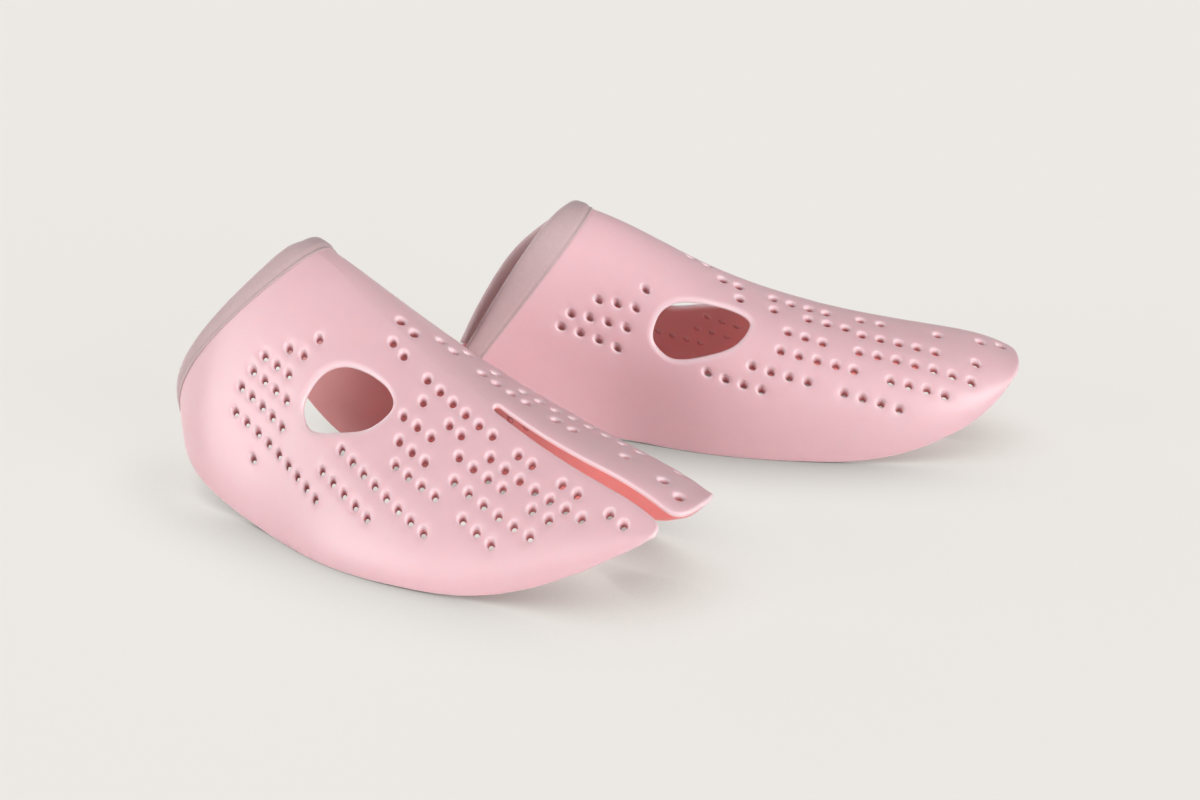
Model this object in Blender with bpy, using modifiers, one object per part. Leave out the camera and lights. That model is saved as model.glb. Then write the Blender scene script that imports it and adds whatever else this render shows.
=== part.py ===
"""Pair of shoe shapers, mirrored: each is a perforated shell with two toe leaves and a soft collar."""

import math

import bpy
import bmesh
import numpy as np
from mathutils import Matrix, Vector
from mathutils.geometry import delaunay_2d_cdt

# Driving sizes, in metres
shell_length = 0.190
instep_height = 0.082
ball_width = 0.079
wall = 0.0020
fit_gap = 0.0003
collar_band = 0.0068
collar_skin = 0.0008
collar_lap = 0.0038
collar_edge_round = 0.0003
hole_radius = 0.0015
slit_end_radius = 0.0012
slit_mouth = 0.0060
lateral_tip_length = 0.0035
medial_tip_length = 0.0065
foot_depth = 0.0006
sheet_step = 0.0085
edge_step = 0.0060
seam_rise = 0.0780
seam_top = 0.0497
seam_foot = -0.0096
lateral_seam_swing = 0.0022
medial_seam_swing = 0.0
rear_corner = 0.0045

# Counts and turns
hole_sides = 6
window_points = 22
tip_points = 7
tip_squareness = 2.8
lip_points = 7
collar_stations = 24
corner_points = 6
arc_samples = 160
seam_rounds = 40
knots = (0, 0, 0, 0, 1, 2, 3, 3, 3, 3)
right_turn_share = -0.108
left_turn_share = -0.014
right_place_shares = (-0.2706, -0.1382)
left_place_shares = (0.2322, 0.2562)

# Cross sections: stations along the length, then heights and half widths there
stations = (0.0, 0.15, 0.30, 0.45, 0.60, 0.75, 0.88, 0.96, 1.0)
ridge_height_shares = (1.039, 1.010, 0.904, 0.729, 0.588, 0.493, 0.437, 0.391, 0.349)
ridge_side_shares = (0.002, 0.005, 0.008, 0.008, -0.018, -0.020, -0.011, -0.004, -0.004)
lateral_rim_shares = (0.174, 0.110, 0.010, 0.000, 0.002, 0.020, 0.135, 0.253, 0.320)
medial_rim_shares = (0.247, 0.070, 0.008, 0.004, 0.001, 0.017, 0.109, 0.238, 0.345)
lateral_width_shares = (0.252, 0.492, 0.523, 0.569, 0.544, 0.436, 0.304, 0.204, 0.144)
medial_width_shares = (0.318, 0.264, 0.267, 0.368, 0.420, 0.421, 0.373, 0.285, 0.205)

# How far the shoulder of each flank lies under the ridge's height
drop_stations = (0.0, 0.30, 0.52, 0.75, 1.0)
lateral_drop_shares = (0.000, 0.000, 0.000, 0.049, 0.013)
medial_drop_shares = (0.000, 0.000, 0.000, -0.059, -0.048)

# Fullness of each section at the ridge and at the rim, and how far the rim tucks under
shape_stations = (0.0, 0.33, 0.67, 1.0)
lateral_ridge_fullness = (0.213, 0.213, 0.137, 0.707)
lateral_rim_fullness = (0.277, 0.213, 0.223, 0.305)
lateral_tuck = (0.190, -0.012, 0.261, 0.134)
medial_ridge_fullness = (0.624, 0.473, 0.105, 0.170)
medial_rim_fullness = (0.620, 0.672, 0.753, 0.609)
medial_tuck = (0.049, 0.052, 0.126, 0.173)

# Collar ends, foot, slit, toe tips and the flex lines of the toe leaves, as shares
lateral_collar_end_share = 0.95
medial_collar_end_share = 0.93
lateral_collar_swell_share = 0.40
medial_collar_swell_share = 0.0
collar_taper_share = 0.6
collar_thinning = 0.6
foot_centre_share = 0.49
foot_spread_share = 0.12
slit_start_share = 0.645
slit_bow = 1.46
lateral_tip_share = 0.991
medial_tip_share = 1.006
lateral_flex_shares = (
    (0.670, 0.004),
    (0.657, 0.041),
    (0.643, 0.067),
    (0.627, 0.104),
    (0.624, 0.138),
    (0.624, 0.172),
    (0.631, 0.225),
)
medial_flex_shares = (
    (0.665, 0.005),
    (0.652, 0.051),
    (0.651, 0.083),
    (0.644, 0.130),
    (0.635, 0.163),
    (0.637, 0.173),
    (0.651, 0.211),
)

# Windows: near corner and size on the unrolled sheet, and one outline for both
lateral_window_shares = (0.350, 0.097, 0.151, 0.140)
medial_window_shares = (0.365, 0.104, 0.170, 0.126)
window_outline_shares = (
    (0.00, 0.76),
    (0.08, 0.42),
    (0.27, 0.17),
    (0.55, 0.03),
    (0.85, 0.00),
    (1.00, 0.14),
    (0.86, 0.50),
    (0.52, 0.80),
    (0.22, 0.99),
    (0.05, 0.93),
)

# Rows of holes on the unrolled sheet: first hole, last hole and how many
lateral_hole_row_shares = (
    (0.443, 0.034, 0.470, 0.038, 2),
    (0.526, 0.040, 0.672, 0.041, 6),
    (0.728, 0.043, 0.757, 0.044, 2),
    (0.820, 0.048, 0.851, 0.051, 2),
    (0.915, 0.058, 0.943, 0.063, 2),
    (0.541, 0.072, 0.541, 0.072, 1),
    (0.600, 0.071, 0.626, 0.071, 2),
    (0.689, 0.071, 0.877, 0.081, 7),
    (0.525, 0.111, 0.584, 0.105, 3),
    (0.642, 0.100, 0.733, 0.099, 4),
    (0.795, 0.103, 0.828, 0.104, 2),
    (0.540, 0.145, 0.596, 0.141, 3),
    (0.655, 0.134, 0.811, 0.139, 6),
    (0.554, 0.177, 0.639, 0.171, 4),
    (0.698, 0.173, 0.757, 0.179, 3),
    (0.454, 0.222, 0.648, 0.226, 8),
    (0.434, 0.270, 0.548, 0.270, 5),
    (0.228, 0.300, 0.440, 0.312, 9),
    (0.284, 0.345, 0.284, 0.345, 1),
    (0.333, 0.112, 0.333, 0.112, 1),
    (0.289, 0.157, 0.318, 0.150, 2),
    (0.251, 0.193, 0.304, 0.191, 3),
    (0.239, 0.225, 0.316, 0.227, 4),
    (0.226, 0.259, 0.324, 0.267, 5),
)
medial_hole_row_shares = (
    (0.427, 0.005, 0.456, 0.005, 2),
    (0.484, 0.038, 0.512, 0.040, 2),
    (0.515, 0.073, 0.515, 0.073, 1),
    (0.574, 0.045, 0.667, 0.053, 4),
    (0.728, 0.055, 0.763, 0.056, 2),
    (0.863, 0.059, 0.863, 0.059, 1),
    (0.939, 0.048, 0.976, 0.035, 2),
    (0.575, 0.077, 0.575, 0.077, 1),
    (0.635, 0.082, 0.700, 0.088, 3),
    (0.729, 0.099, 0.856, 0.110, 5),
    (0.926, 0.113, 0.926, 0.113, 1),
    (0.600, 0.123, 0.660, 0.133, 3),
    (0.723, 0.140, 0.917, 0.154, 7),
    (0.588, 0.162, 0.715, 0.177, 5),
    (0.778, 0.186, 0.872, 0.192, 4),
    (0.540, 0.198, 0.636, 0.210, 4),
    (0.699, 0.220, 0.794, 0.233, 4),
    (0.463, 0.229, 0.557, 0.236, 4),
    (0.352, 0.127, 0.352, 0.127, 1),
    (0.270, 0.179, 0.335, 0.167, 3),
    (0.222, 0.220, 0.319, 0.209, 4),
    (0.205, 0.248, 0.303, 0.252, 4),
)

# Collar section: distance behind its front edge and height over the shell's outer face, as shares
lap_depth = collar_lap + fit_gap
collar_outside = fit_gap + collar_skin
collar_inside = -wall - fit_gap - collar_skin
collar_lip = (collar_outside - collar_inside) / 2
lip_centre = (collar_outside + collar_inside) / 2
lip_turn = np.linspace(math.pi / 2, -math.pi / 2, lip_points)
lip = [
    (collar_band - collar_lip * (1 - math.cos(turn)), lip_centre + collar_lip * math.sin(turn))
    for turn in lip_turn
]
collar_section = (
    (0.0, fit_gap),
    (0.0, collar_outside - collar_edge_round),
    (collar_edge_round, collar_outside),
    *lip,
    (collar_edge_round, collar_inside),
    (0.0, collar_inside + collar_edge_round),
    (0.0, -wall - fit_gap),
    (lap_depth, -wall - fit_gap),
    (lap_depth, fit_gap),
)
seam_lean = (seam_top - seam_foot) / seam_rise
seam_slope = math.hypot(1.0, seam_lean)
slit_start = slit_start_share * shell_length

shell_colour = (0.84, 0.53, 0.56)
leaf_colour = (0.86, 0.56, 0.59)
collar_colour = (0.53, 0.38, 0.39)


class Spline:
    """Natural cubic through the given values, straight outside the stations."""

    def __init__(self, at, values):
        self.at = np.array(at, float)
        self.values = np.array(values, float)
        step = np.diff(self.at)
        count = len(self.at)
        matrix = np.eye(count)
        right = np.zeros(count)
        for i in range(1, count - 1):
            matrix[i, i - 1 : i + 2] = (step[i - 1], 2 * (step[i - 1] + step[i]), step[i])
            rise = np.diff(self.values)[i - 1 : i + 1] / step[i - 1 : i + 1]
            right[i] = 6 * (rise[1] - rise[0])
        self.bend = np.linalg.solve(matrix, right)

    def __call__(self, where):
        where = np.asarray(where, float)
        inside = np.clip(where, self.at[0], self.at[-1])
        k = np.clip(np.searchsorted(self.at, inside) - 1, 0, len(self.at) - 2)
        step = self.at[k + 1] - self.at[k]
        left = (self.at[k + 1] - inside) / step
        right = (inside - self.at[k]) / step
        low = self.bend[k] * (left**3 - left)
        high = self.bend[k + 1] * (right**3 - right)
        value = left * self.values[k] + right * self.values[k + 1] + (low + high) * step**2 / 6
        slope_low = -self.bend[k] * (3 * left**2 - 1)
        slope_high = self.bend[k + 1] * (3 * right**2 - 1)
        slope = (self.values[k + 1] - self.values[k]) / step + (slope_low + slope_high) * step / 6
        return value + slope * (where - inside)


def spline_weights(at):
    """Weights of the six poles of a clamped cubic spline."""
    at = np.clip(at, 0, knots[-1] * (1 - 1e-9))
    weights = [((at >= a) & (at < b)).astype(float) for a, b in zip(knots, knots[1:])]
    for degree in (1, 2, 3):
        raised = []
        for i in range(len(weights) - 1):
            value = np.zeros_like(at)
            if knots[i + degree] > knots[i]:
                value = value + (at - knots[i]) / (knots[i + degree] - knots[i]) * weights[i]
            if knots[i + degree + 1] > knots[i + 1]:
                span = knots[i + degree + 1] - knots[i + 1]
                value = value + (knots[i + degree + 1] - at) / span * weights[i + 1]
            raised.append(value)
        weights = raised
    return weights


def table(at, values, size):
    return Spline(np.array(at) * shell_length, np.array(values) * size)


class Side:
    """One flank of the shell, from the ridge down to its rim."""

    def __init__(self, sign, collar_end, swell, swing, rim, width, drop, ridge_fullness, rim_fullness, tuck):
        self.sign = sign
        self.swell = swell
        self.swing = swing
        self.collar_shares = np.linspace(0, collar_end, collar_stations // 2 + 1)
        self.rim = table(stations, rim, instep_height)
        self.width = table(stations, width, ball_width)
        self.drop = table(drop_stations, drop, instep_height)
        self.ridge_fullness = table(shape_stations, ridge_fullness, 1)
        self.rim_fullness = table(shape_stations, rim_fullness, 1)
        self.tuck = table(shape_stations, tuck, 1)

    def poles(self, x):
        """Rim, flank and shoulder poles of the cross section at length x."""
        top = ridge_height(x)
        middle = ridge_side(x)
        from_foot = (x / shell_length - foot_centre_share) / foot_spread_share
        foot = self.rim(x) - foot_depth * np.exp(-(from_foot**4))
        edge = self.sign * self.width(x)
        lift = self.rim_fullness(x) * (top - foot)
        flank = (edge + self.sign * lift * np.sin(self.tuck(x)), foot + lift * np.cos(self.tuck(x)))
        shoulder = middle + self.sign * self.ridge_fullness(x) * np.abs(edge - middle)
        return [(edge, foot), flank, (shoulder, top - self.drop(x))]

    def point(self, x, share):
        """Point of the outer face at length x, a share of the way from ridge to rim."""
        x, share = np.broadcast_arrays(np.asarray(x, float), np.asarray(share, float))
        poles = lateral.poles(x) + medial.poles(x)[::-1]
        weights = spline_weights((knots[-1] * (1 + self.sign * share)) / 2)
        y = sum(w * pole[0] for w, pole in zip(weights, poles))
        z = sum(w * pole[1] for w, pole in zip(weights, poles))
        return np.stack([x, y, z], axis=-1)

    def arcs(self, x):
        """Shares from ridge to rim and the length along the section at each, for every x."""
        share = np.linspace(0, 1, arc_samples)
        points = self.point(np.asarray(x, float)[:, None], share[None, :])
        runs = np.linalg.norm(np.diff(points, axis=1), axis=2)
        return share, np.concatenate([np.zeros((len(points), 1)), np.cumsum(runs, axis=1)], axis=1)

    def reach(self, x):
        return self.arcs(np.atleast_1d(x))[1][:, -1]

    def behind_seam(self, share, back):
        """Length x of the outer face at the plane that lies a distance behind the seam."""
        share = np.asarray(share, float)
        start = seam_foot - back * seam_slope - self.swing * np.sin(math.pi * share**2)
        x = np.full(share.shape, start)
        for _ in range(seam_rounds):
            x = (x + start + seam_lean * self.point(x, share)[..., 2]) / 2
        return x

    def seam_run(self, share, back):
        """Points of the sheet at shares of the seam and distances behind it."""
        x = self.behind_seam(share, back)
        at, lengths = self.arcs(x)
        reach = np.array([np.interp(s, at, row) for s, row in zip(share, lengths)])
        return np.stack([x, self.sign * reach], axis=-1)

    def seam_line(self):
        return self.seam_run(self.collar_shares, 0.0)

    def rear_edge(self):
        """Points of the sheet down the shell's rear edge, with a rounded corner below the collar."""
        turn = np.linspace(0, 1, corner_points + 1)[1:]
        end = self.collar_shares[-1]
        bare = end + (1 - end) * np.sin(turn * math.pi / 2)
        step_out = np.clip(turn * corner_points / 2, 0, 1) * (collar_band - collar_lap)
        cut_back = rear_corner * (1 - np.cos(turn * math.pi / 2))
        covered = np.full(len(self.collar_shares), collar_lap)
        back = np.concatenate([covered, collar_lap + step_out - cut_back])
        return self.seam_run(np.concatenate([self.collar_shares, bare]), back)


ridge_height = table(stations, ridge_height_shares, instep_height)
ridge_side = table(stations, ridge_side_shares, ball_width)
lateral = Side(
    -1,
    lateral_collar_end_share,
    lateral_collar_swell_share,
    lateral_seam_swing,
    lateral_rim_shares,
    lateral_width_shares,
    lateral_drop_shares,
    lateral_ridge_fullness,
    lateral_rim_fullness,
    lateral_tuck,
)
medial = Side(
    1,
    medial_collar_end_share,
    medial_collar_swell_share,
    medial_seam_swing,
    medial_rim_shares,
    medial_width_shares,
    medial_drop_shares,
    medial_ridge_fullness,
    medial_rim_fullness,
    medial_tuck,
)


def wrap(sheet):
    """Wraps points of the unrolled sheet (length, distance from the ridge) on to the outer face."""
    sheet = np.asarray(sheet, float)
    out = np.zeros((len(sheet), 3))
    for side, chosen in ((lateral, sheet[:, 1] < 0), (medial, sheet[:, 1] >= 0)):
        if not chosen.any():
            continue
        share, lengths = side.arcs(sheet[chosen, 0])
        wanted = np.abs(sheet[chosen, 1])
        found = np.array([np.interp(w, row, share) for w, row in zip(wanted, lengths)])
        out[chosen] = side.point(sheet[chosen, 0], found)
    return out


def outward(side, x, share):
    """Unit normal of the outer face, pointing away from the foot."""
    small = shell_length / 1000
    x, share = np.broadcast_arrays(x, np.clip(share, 0.01, 0.99))
    along = side.point(x + small, share) - side.point(x - small, share)
    down = side.point(x, share + 0.01) - side.point(x, share - 0.01)
    normal = np.cross(along, down) * -side.sign
    normal *= np.sign((normal * (side.point(x, share) - hollow_centre(x))).sum(axis=-1))[..., None]
    return normal / np.linalg.norm(normal, axis=-1)[..., None]


def hollow_centre(x):
    return np.stack([x, ridge_side(x), ridge_height(x) * 0.4], axis=-1)


def spaced(start, end, step):
    return np.linspace(start, end, max(2, int(math.ceil(abs(end - start) / step)) + 1))


def rim_run(side, start, end):
    """Points of the sheet along one rim."""
    x = spaced(start, end, edge_step)
    return np.stack([x, side.sign * side.reach(x)], axis=-1)


def flex_line(side, shares, away):
    """Points of the sheet down the flex line of a toe leaf, from the slit to the rim."""
    points = np.array(shares) * shell_length
    points[:, 0] += away
    foot_x = points[-1, 0]
    foot = (foot_x, float(side.reach(foot_x)[0]))
    points = np.vstack([points, foot])
    points[:, 1] *= side.sign
    return points


def slit_edge(side, x):
    """Distance of the slit's edge from the ridge line, on one side."""
    share = np.clip((x - slit_start) / (shell_length - slit_start), 0, 1)
    mouth = slit_mouth if side is lateral else 0.0
    return slit_end_radius + (mouth - slit_end_radius) * share**slit_bow


def leaf_outline(side, shares, tip_share, tip_length):
    """Closed outline of a toe leaf on the sheet, rounded off at its tip."""
    line = flex_line(side, shares, fit_gap / 2)
    tip_start = tip_share * shell_length - tip_length
    x = spaced(line[0, 0], tip_start, edge_step)
    edge = np.stack([x, slit_edge(side, x)], axis=-1)
    x = spaced(tip_start, line[-1, 0], edge_step)
    rim = np.stack([x, side.reach(x)], axis=-1)
    angle = np.linspace(-math.pi / 2, math.pi / 2, tip_points + 2)[1:-1]
    x = tip_start + tip_length * np.cos(angle) ** (2 / tip_squareness)
    low = slit_edge(side, x)
    high = side.reach(x)
    across = np.sign(angle) * np.abs(np.sin(angle)) ** (2 / tip_squareness)
    tip = np.stack([x, (low + high) / 2 + (high - low) / 2 * across], axis=-1)
    line[0, 1] = side.sign * edge[0, 1]
    run = np.vstack([edge, tip, rim[:-1]]) * (1, side.sign)
    return np.vstack([run, line[::-1][:-1]])


def shell_outline():
    """Closed outline of the instep shell on the sheet."""
    lateral_rear = lateral.rear_edge()
    medial_rear = medial.rear_edge()
    medial_line = flex_line(medial, medial_flex_shares, -fit_gap / 2)
    lateral_line = flex_line(lateral, lateral_flex_shares, -fit_gap / 2)
    angle = np.linspace(math.pi / 2, math.pi * 3 / 2, 7)
    slit_end = np.stack(
        [
            slit_start + slit_end_radius + slit_end_radius * np.cos(angle),
            slit_end_radius * np.sin(angle),
        ],
        axis=-1,
    )
    medial_line[0, 1] = slit_edge(medial, medial_line[0, 0])
    lateral_line[0, 1] = -slit_edge(lateral, lateral_line[0, 0])
    return np.vstack(
        [
            lateral_rear[::-1][:-1],
            medial_rear[:-1],
            rim_run(medial, medial_rear[-1, 0], medial_line[-1, 0])[:-1],
            medial_line[::-1],
            slit_end,
            lateral_line[:-1],
            rim_run(lateral, lateral_line[-1, 0], lateral_rear[-1, 0])[:-1],
        ]
    )


def window(side, shares):
    """Closed outline of a window on the sheet."""
    u, v, length, depth = np.array(shares) * shell_length
    corners = np.array(window_outline_shares)
    count = len(corners)
    out = []
    for position in np.linspace(0, count, window_points, endpoint=False):
        i = int(position)
        t = position - i
        a, b, c, d = (corners[(i + k) % count] for k in (-1, 0, 1, 2))
        point = b + t * (c - a) / 2 + t**2 * (a - 2.5 * b + 2 * c - d / 2)
        out.append(point + t**3 * (1.5 * b - 1.5 * c + (d - a) / 2))
    out = np.array(out)
    return np.stack([u + out[:, 0] * length, side.sign * (v + out[:, 1] * depth)], axis=-1)


def hole_centres(side, rows):
    out = []
    for row in rows:
        first = np.array(row[:2]) * shell_length
        last = np.array(row[2:4]) * shell_length
        count = row[4]
        for i in range(count):
            out.append(first + (last - first) * i / max(1, count - 1))
    return np.array(out) * (1, side.sign)


def inside(points, loop):
    """True for the points that lie inside a closed loop."""
    result = np.zeros(len(points), bool)
    for a, b in zip(loop, np.roll(loop, -1, axis=0)):
        crosses = (a[1] > points[:, 1]) != (b[1] > points[:, 1])
        if not crosses.any():
            continue
        rise = b[1] - a[1]
        at = a[0] + (points[:, 1] - a[1]) / (rise if rise else 1.0) * (b[0] - a[0])
        result ^= crosses & (points[:, 0] < at)
    return result


def hole_loop(centre):
    angle = np.arange(hole_sides) * math.tau / hole_sides
    return centre + hole_radius * np.stack([np.cos(angle), np.sin(angle)], axis=-1)


def far_enough(points, others, distance):
    gaps = np.linalg.norm(points[:, None] - others[None], axis=2)
    return points[gaps.min(axis=1) > distance]


def flat_sheet(outline, openings, lines):
    """Triangles of the unrolled sheet inside its outline and outside its openings."""
    loops = [outline] + openings
    edges_at = np.vstack(loops + lines)
    low = outline.min(axis=0)
    high = outline.max(axis=0)
    grid = np.array(
        [
            (u, v)
            for v in np.arange(low[1] + sheet_step / 2, high[1], sheet_step)
            for u in np.arange(low[0] + sheet_step / 2, high[0], sheet_step)
        ]
    )
    grid = grid[inside(grid, outline)]
    for loop in openings:
        grid = grid[~inside(grid, loop)]
    grid = far_enough(grid, edges_at, sheet_step * 0.45)
    points = np.vstack([edges_at, grid])
    edges = []
    start = 0
    for loop in loops:
        edges += [(start + i, start + (i + 1) % len(loop)) for i in range(len(loop))]
        start += len(loop)
    for line in lines:
        edges += [(start + i, start + i + 1) for i in range(len(line) - 1)]
        start += len(line)
    scaled = [Vector(p) for p in points / shell_length]
    made = delaunay_2d_cdt(scaled, edges, [], 0, 1e-6)
    flat = np.array([tuple(p) for p in made[0]]) * shell_length
    faces = np.array([tuple(f) for f in made[2]])
    centres = flat[faces].mean(axis=1)
    keep = inside(centres, outline)
    for loop in openings:
        keep &= ~inside(centres, loop)
    return flat, faces[keep]


def new_object(name, mesh, parent, location, colour, roughness):
    obj = bpy.data.objects.new(name, mesh)
    part_collection.objects.link(obj)
    obj.parent = parent
    obj.location = location
    material = bpy.data.materials.new(name)
    material.use_nodes = True
    shader = material.node_tree.nodes["Principled BSDF"]
    shader.inputs["Base Color"].default_value = (*colour, 1.0)
    shader.inputs["Roughness"].default_value = roughness
    mesh.materials.append(material)
    for polygon in mesh.polygons:
        polygon.use_smooth = True
    return obj


def mesh_of(name, points, faces, face_out_from=None):
    """Mesh from points and faces; an open sheet is turned to face away from the hollow."""
    bm = bmesh.new()
    verts = [bm.verts.new(p) for p in points]
    for face in faces:
        bm.faces.new([verts[i] for i in face])
    loose = [v for v in bm.verts if not v.link_faces]
    bmesh.ops.delete(bm, geom=loose, context="VERTS")
    bmesh.ops.recalc_face_normals(bm, faces=bm.faces)
    bm.normal_update()
    if face_out_from is not None:
        facing = sum((f.calc_center_median() - face_out_from).dot(f.normal) for f in bm.faces)
        if facing < 0:
            bmesh.ops.reverse_faces(bm, faces=bm.faces)
    mesh = bpy.data.meshes.new(name)
    bm.to_mesh(mesh)
    bm.free()
    return mesh


def moulding(name, hand, parent, outline, openings, lines, pivot, colour):
    """Perforated sheet wrapped on the foot form and thickened inward to the wall."""
    flat, faces = flat_sheet(outline, openings, lines)
    points = wrap(flat) - pivot
    points[:, 1] *= hand
    middle = Vector((shell_length * 0.5, 0.0, instep_height * 0.2)) - Vector(pivot)
    mesh = mesh_of(name, points, faces, middle)
    place = Vector((pivot[0], pivot[1] * hand, pivot[2]))
    obj = new_object(name, mesh, parent, place, colour, 0.4)
    solid = obj.modifiers.new("wall", "SOLIDIFY")
    solid.thickness = wall
    solid.offset = -1.0
    solid.use_even_offset = True
    solid.use_quality_normals = True
    return obj


def stand_flat(obj):
    """Cuts the lowest stretch of the rim level with the floor."""
    size = shell_length * 1.2
    bm = bmesh.new()
    bmesh.ops.create_cube(bm, size=size)
    mesh = bpy.data.meshes.new("floor_block")
    bm.to_mesh(mesh)
    bm.free()
    block = bpy.data.objects.new(obj.name + "_floor_block", mesh)
    cutter_collection.objects.link(block)
    block.parent = obj.parent
    block.location = (shell_length / 2, 0.0, -size / 2)
    block.hide_render = True
    block.display_type = "WIRE"
    cut = obj.modifiers.new("stand", "BOOLEAN")
    cut.operation = "DIFFERENCE"
    cut.solver = "EXACT"
    cut.object = block


def collar(name, hand, parent):
    """Soft band with a groove that sits over the shell's rear edge."""
    rings = []
    behind, raised = np.array(collar_section).T
    beyond = np.clip(behind - lap_depth, 0, None)
    skin = np.clip(raised - fit_gap, 0, None) + np.clip(raised + wall + fit_gap, None, 0)
    for side in (lateral, medial):
        share = side.collar_shares[:, None]
        run = share / share[-1]
        thin = np.clip((run - collar_taper_share) / (1 - collar_taper_share), 0, 1) ** 2
        back = behind + beyond * (side.swell * np.sin(math.tau * run) - thin * collar_thinning)
        height = raised - skin * thin * collar_thinning
        x = side.behind_seam(np.broadcast_to(share, back.shape), back)
        ring = side.point(x, share) + height[..., None] * outward(side, x, share)
        ring *= (1, hand, 1)
        rings.append(ring)
    rings = list(rings[0][::-1]) + list(rings[1][1:])
    points = [p for ring in rings for p in ring]
    count = len(collar_section)
    faces = []
    for i in range(len(rings) - 1):
        for j in range(count):
            k = (j + 1) % count
            faces.append((i * count + j, i * count + k, (i + 1) * count + k, (i + 1) * count + j))
    faces.append(tuple(range(count)))
    last = (len(rings) - 1) * count
    faces.append(tuple(range(last + count - 1, last - 1, -1)))
    mesh = mesh_of(name, points, faces)
    return new_object(name, mesh, parent, (0.0, 0.0, 0.0), collar_colour, 0.6)


def clear_of(openings, outline):
    """The openings that lie inside one outline."""
    return [loop for loop in openings if inside(loop, outline).all()]


def hinge_pivot(side, shares):
    """Upper end of a toe leaf's flex axis, on the inner face beside the slit."""
    x = shares[0][0] * shell_length
    top = side.point(np.array([x]), np.array([0.0]))[0]
    return top - (0.0, 0.0, wall)


def shaper(prefix, hand, turn_share, place_shares):
    origin = bpy.data.objects.new(prefix + "_shaper", None)
    part_collection.objects.link(origin)
    place = Matrix.Translation((*(s * shell_length for s in place_shares), 0.0))
    turned = Matrix.Rotation(turn_share * math.tau, 4, "Z")
    centre = Matrix.Translation((-shell_length / 2, 0.0, 0.0))
    origin.matrix_world = place @ turned @ centre
    openings = [window(lateral, lateral_window_shares), window(medial, medial_window_shares)]
    for side, rows in ((lateral, lateral_hole_row_shares), (medial, medial_hole_row_shares)):
        openings += [hole_loop(c) for c in hole_centres(side, rows)]
    outline = shell_outline()
    shell_name = prefix + "_instep_shell"
    zero = np.zeros(3)
    seam = np.vstack([lateral.seam_line()[::-1][:-1], medial.seam_line()])
    kept = clear_of(openings, outline)
    shell = moulding(shell_name, hand, origin, outline, kept, [seam], zero, shell_colour)
    stand_flat(shell)
    lateral_tip = (lateral_tip_share, lateral_tip_length)
    medial_tip = (medial_tip_share, medial_tip_length)
    leaves = (
        ("_lateral_toe_leaf", lateral, lateral_flex_shares, lateral_tip),
        ("_medial_toe_leaf", medial, medial_flex_shares, medial_tip),
    )
    for suffix, side, shares, tip in leaves:
        outline = leaf_outline(side, shares, *tip)
        pivot = hinge_pivot(side, shares)
        kept = clear_of(openings, outline)
        leaf = moulding(prefix + suffix, hand, origin, outline, kept, [], pivot, leaf_colour)
        stand_flat(leaf)
    collar(prefix + "_collar", hand, origin)


for old in list(bpy.data.objects):
    bpy.data.objects.remove(old)
part_collection = bpy.data.collections.new("shoe_shaper_pair")
bpy.context.scene.collection.children.link(part_collection)
cutter_collection = bpy.data.collections.new("cutters")
bpy.context.scene.collection.children.link(cutter_collection)
cutter_collection.hide_render = True
shaper("right", 1, right_turn_share, right_place_shares)
shaper("left", -1, left_turn_share, left_place_shares)
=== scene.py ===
"""Pair of shoe shapers as they look: perforated shells with soft collars, on a pale floor."""

import math
from collections import namedtuple

import bpy
import numpy as np
from mathutils import Matrix, Vector
from mathutils.geometry import delaunay_2d_cdt


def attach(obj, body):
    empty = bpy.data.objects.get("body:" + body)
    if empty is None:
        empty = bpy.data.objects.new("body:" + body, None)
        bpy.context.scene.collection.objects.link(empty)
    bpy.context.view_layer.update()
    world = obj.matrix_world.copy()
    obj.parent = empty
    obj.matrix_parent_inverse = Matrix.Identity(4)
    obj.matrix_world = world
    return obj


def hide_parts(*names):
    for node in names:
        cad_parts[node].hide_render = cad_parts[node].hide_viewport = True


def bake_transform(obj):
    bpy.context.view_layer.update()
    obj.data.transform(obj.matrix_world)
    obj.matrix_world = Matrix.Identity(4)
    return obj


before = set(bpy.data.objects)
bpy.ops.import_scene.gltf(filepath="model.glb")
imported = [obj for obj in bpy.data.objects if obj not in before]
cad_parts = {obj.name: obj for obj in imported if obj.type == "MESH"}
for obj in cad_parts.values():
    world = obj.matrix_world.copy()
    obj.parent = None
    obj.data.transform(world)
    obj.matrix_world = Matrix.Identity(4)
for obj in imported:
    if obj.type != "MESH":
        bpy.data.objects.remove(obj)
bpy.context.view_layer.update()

# Sizes of the form, in metres, as the solids have them
shell_length = 0.190
instep_height = 0.082
ball_width = 0.079
wall = 0.0020
fit_gap = 0.0003
collar_band = 0.0068
collar_skin = 0.0008
collar_lap = 0.0038
hole_radius = 0.0015
slit_end_radius = 0.0012
slit_mouth = 0.0060
lateral_tip_length = 0.0035
medial_tip_length = 0.0065
rear_corner = 0.0045
foot_depth = 0.0006

# Seam where the collar starts, in metres: its height, length x at its top and foot, and its bow
seam_rise = 0.0780
seam_top = 0.0497
seam_foot = -0.0096
lateral_seam_swing = 0.0022
medial_seam_swing = 0.0

# Sizes of the finish, in metres
edge_round = 0.0008
window_bevel_width = 0.0020
window_bevel_depth = 0.0010
dimple_width = 0.0013
dimple_ring_width = 0.0008
dimple_depth = 0.0008
lean_margin = 0.0060
split_fade = 0.0080
split_shift = 0.0022
split_shift_start = 0.0540
split_shift_end = 0.1160
split_shift_run = 0.0180
collar_front_height = 0.00035
bead_width = 0.0008
bead_dip = 0.00012
sheet_step = 0.0021
edge_step = 0.0014

# Medial toe leaf in the photograph, in metres: rise of its rim, dip of its slit edge, set back
right_toe_settling = (0.0010, 0.0018, 0.0013)
left_toe_settling = (-0.0010, 0.0, -0.0008)

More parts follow.
